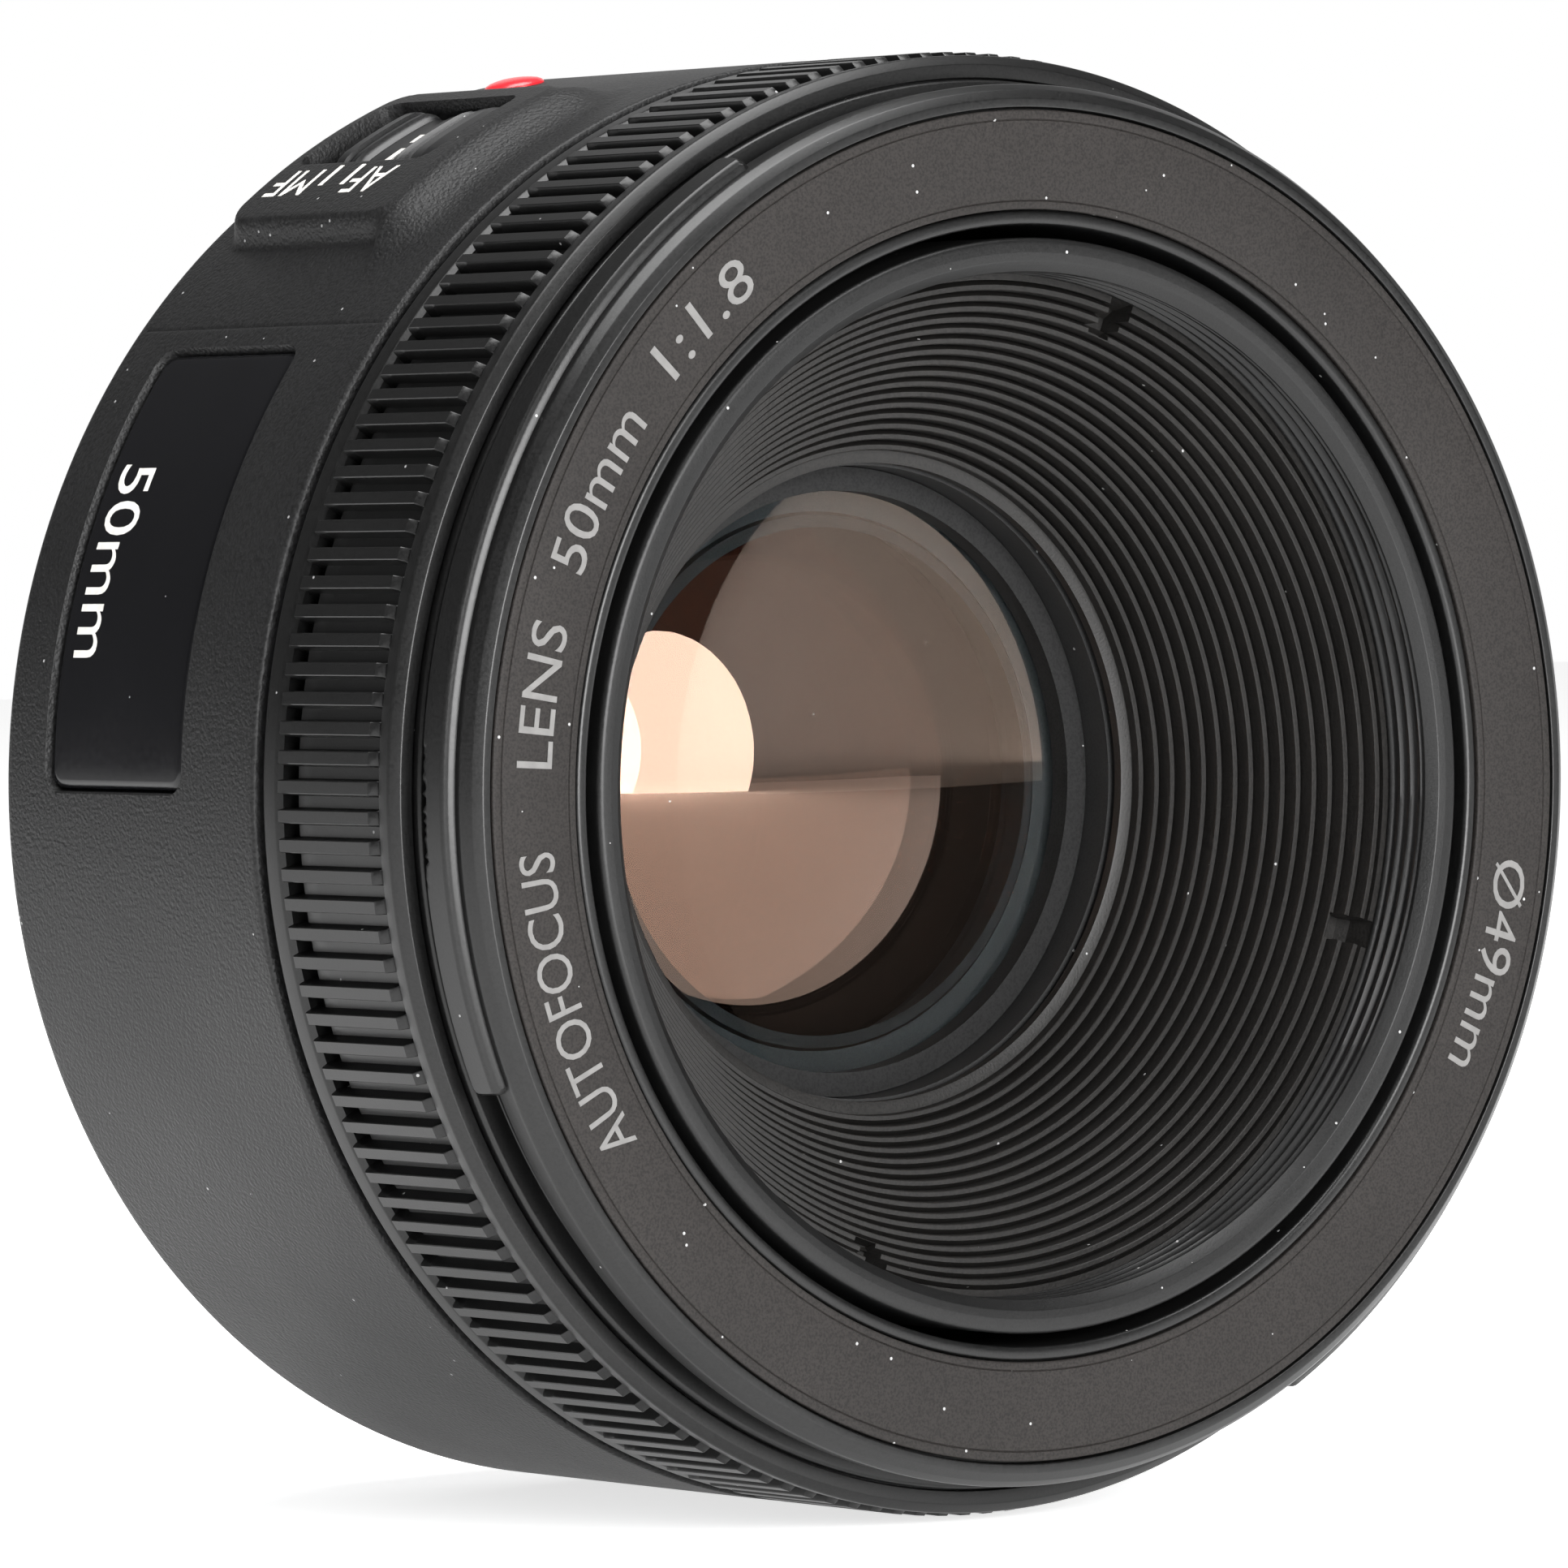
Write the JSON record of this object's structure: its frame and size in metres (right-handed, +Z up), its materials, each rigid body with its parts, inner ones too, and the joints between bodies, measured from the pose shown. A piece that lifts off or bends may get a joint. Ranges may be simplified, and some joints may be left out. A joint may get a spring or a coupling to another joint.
{
  "type": "prime camera lens",
  "caption": "Autofocus prime camera lens: bayonet mount, barrel with side switch, ribbed focus ring, sliding inner barrel with ribbed baffle cone, glass elements and iris.",
  "frame": {"origin": "centre of the mount flange rear face, on the optical axis", "axes": "+Y along the optical axis towards the camera body (the front element faces -Y); +Z up as the lens lies in the picture, the red mounting index 11 degrees from +Z towards -X; +X right when facing the front"},
  "size_m": [0.0692, 0.0448, 0.0692],
  "materials": {
    "mount_metal": "turned and nickel plated",
    "screw_steel": "machined",
    "inner_black": "matte black moulding",
    "contact_gold": "gold plated",
    "barrel_plastic": "fine satin grain",
    "gloss_plate": "glossy",
    "index_red": "glossy",
    "switch_plastic": "satin",
    "spring_steel": "rolled",
    "ring_plastic": "satin ribs",
    "gear_plastic": "natural acetal",
    "front_plastic": "semi gloss",
    "name_ring_plastic": "matte dark grey",
    "inner_plastic": "matte",
    "cam_plastic": "matte glass-filled plastic",
    "pinion_brass": "machined",
    "bracket_steel": "pressed sheet",
    "motor_steel": "drawn can",
    "board_green": "solder mask",
    "chip_black": "moulded",
    "flex_amber": "polyimide film",
    "inner_barrel_plastic": "satin",
    "cone_black": "matte",
    "coated_glass": "multi-coated",
    "blade_steel": "blackened sheet"
  },
  "bodies": {
    "lens_body": {"bayonet_mount": "mount_metal", "mount_screws": "screw_steel", "rear_baffle": "inner_black", "contact_block": "inner_black", "contact_pins": "contact_gold", "contact_screws": "screw_steel", "rear_barrel": "barrel_plastic", "side_plate": "gloss_plate", "index_dot": "index_red", "detent_spring": "spring_steel", "encoder_sensor": "inner_black", "front_barrel": "front_plastic", "name_ring": "name_ring_plastic", "focus_ring_washer": "spring_steel", "barrel_screws": "screw_steel", "guide_barrel": "inner_plastic", "cam_retaining_ring": "spring_steel", "gear_axle": "screw_steel", "motor_bracket": "bracket_steel", "focus_motor": "motor_steel", "main_board": "board_green", "board_chips": "chip_black", "flex_cable": "flex_amber"},
    "focus_ring": {"focus_ring": "ring_plastic"},
    "encoder_gear": {"encoder_gear": "gear_plastic"},
    "mode_switch": {"af_mf_switch": "switch_plastic"},
    "cam_ring": {"cam_ring": "cam_plastic"},
    "reduction_gear": {"reduction_gear": "gear_plastic"},
    "motor_pinion": {"focus_motor_pinion": "pinion_brass"},
    "inner_barrel": {"inner_barrel": "inner_barrel_plastic", "cam_followers": "pinion_brass", "baffle_cone": "cone_black", "front_cell": "inner_plastic", "front_spacer": "inner_black", "front_retaining_ring": "inner_black", "rear_cell": "inner_plastic", "rear_spacer": "inner_black", "rear_retaining_ring": "inner_black", "aperture_base": "inner_plastic", "aperture_cover": "inner_plastic", "aperture_motor": "motor_steel", "lens_element_1": "coated_glass", "lens_element_2": "coated_glass", "lens_element_3": "coated_glass", "lens_element_4": "coated_glass", "lens_element_5": "coated_glass", "lens_element_6": "coated_glass"},
    "aperture_ring": {"aperture_drive_ring": "cam_plastic"},
    "aperture_pinion": {"aperture_pinion": "pinion_brass"},
    "blade_1": {"aperture_blade_1": "blade_steel"},
    "blade_2": {"aperture_blade_2": "blade_steel"},
    "blade_3": {"aperture_blade_3": "blade_steel"},
    "blade_4": {"aperture_blade_4": "blade_steel"},
    "blade_5": {"aperture_blade_5": "blade_steel"},
    "blade_6": {"aperture_blade_6": "blade_steel"},
    "blade_7": {"aperture_blade_7": "blade_steel"}
  },
  "joints": [
    {"name": "focus_ring_turn", "type": "hinge", "parent": "lens_body", "child": "focus_ring", "pos_m": [0, -0.03, 0], "axis": [0, -1, 0], "continuous": true},
    {"name": "encoder_spin", "type": "hinge", "parent": "lens_body", "child": "encoder_gear", "pos_m": [-0.0249, -0.029, -0.01744], "axis": [0, -1, 0], "continuous": true},
    {"name": "mode_switch_slide", "type": "slide", "parent": "lens_body", "child": "mode_switch", "axis": [0, 1, 0], "range_m": [0, 0.0018]},
    {"name": "cam_turn", "type": "hinge", "parent": "lens_body", "child": "cam_ring", "pos_m": [0, -0.015, 0], "axis": [0, -1, 0], "range_deg": [0, 90]},
    {"name": "reduction_gear_spin", "type": "hinge", "parent": "lens_body", "child": "reduction_gear", "pos_m": [-0.01425, -0.006, -0.02468], "axis": [0, -1, 0], "range_deg": [-766, 1]},
    {"name": "motor_pinion_spin", "type": "hinge", "parent": "lens_body", "child": "motor_pinion", "pos_m": [-0.00934, -0.007, -0.02693], "axis": [0, -1, 0], "range_deg": [-1, 1302]},
    {"name": "inner_barrel_slide", "type": "slide", "parent": "lens_body", "child": "inner_barrel", "axis": [0, -1, 0], "range_m": [0, 0.0105]},
    {"name": "aperture_ring_turn", "type": "hinge", "parent": "inner_barrel", "child": "aperture_ring", "pos_m": [0, -0.0102, 0], "axis": [0, -1, 0], "range_deg": [0, 3.5]},
    {"name": "aperture_pinion_spin", "type": "hinge", "parent": "inner_barrel", "child": "aperture_pinion", "pos_m": [0.01554, -0.01, 0.00748], "axis": [0, -1, 0], "range_deg": [-1, 54.5]},
    {"name": "blade_1_swing", "type": "hinge", "parent": "inner_barrel", "child": "blade_1", "pos_m": [0.0168, -0.0085, 0], "axis": [0, -1, 0], "range_deg": [0, 29]},
    {"name": "blade_2_swing", "type": "hinge", "parent": "inner_barrel", "child": "blade_2", "pos_m": [0.01047, -0.0085, 0.01313], "axis": [0, -1, 0], "range_deg": [0, 29]},
    {"name": "blade_3_swing", "type": "hinge", "parent": "inner_barrel", "child": "blade_3", "pos_m": [-0.00374, -0.0085, 0.01638], "axis": [0, -1, 0], "range_deg": [0, 29]},
    {"name": "blade_4_swing", "type": "hinge", "parent": "inner_barrel", "child": "blade_4", "pos_m": [-0.01514, -0.0085, 0.00729], "axis": [0, -1, 0], "range_deg": [0, 29]},
    {"name": "blade_5_swing", "type": "hinge", "parent": "inner_barrel", "child": "blade_5", "pos_m": [-0.01514, -0.0085, -0.00729], "axis": [0, -1, 0], "range_deg": [0, 29]},
    {"name": "blade_6_swing", "type": "hinge", "parent": "inner_barrel", "child": "blade_6", "pos_m": [-0.00374, -0.0085, -0.01638], "axis": [0, -1, 0], "range_deg": [0, 29]},
    {"name": "blade_7_swing", "type": "hinge", "parent": "inner_barrel", "child": "blade_7", "pos_m": [0.01047, -0.0085, -0.01313], "axis": [0, -1, 0], "range_deg": [0, 29]}
  ],
  "couplings": [
    {"joint": "encoder_spin", "follows": "focus_ring_turn", "ratio": 12.692},
    {"joint": "cam_turn", "follows": "inner_barrel_slide", "rad_per_m": 149.6},
    {"joint": "reduction_gear_spin", "follows": "inner_barrel_slide", "rad_per_m": -1271.6},
    {"joint": "motor_pinion_spin", "follows": "inner_barrel_slide", "rad_per_m": 2161.7},
    {"joint": "aperture_pinion_spin", "follows": "aperture_ring_turn", "ratio": 15.375},
    {"joint": "blade_1_swing", "follows": "aperture_ring_turn", "ratio": 8.2},
    {"joint": "blade_2_swing", "follows": "aperture_ring_turn", "ratio": 8.2},
    {"joint": "blade_3_swing", "follows": "aperture_ring_turn", "ratio": 8.2},
    {"joint": "blade_4_swing", "follows": "aperture_ring_turn", "ratio": 8.2},
    {"joint": "blade_5_swing", "follows": "aperture_ring_turn", "ratio": 8.2},
    {"joint": "blade_6_swing", "follows": "aperture_ring_turn", "ratio": 8.2},
    {"joint": "blade_7_swing", "follows": "aperture_ring_turn", "ratio": 8.2}
  ]
}
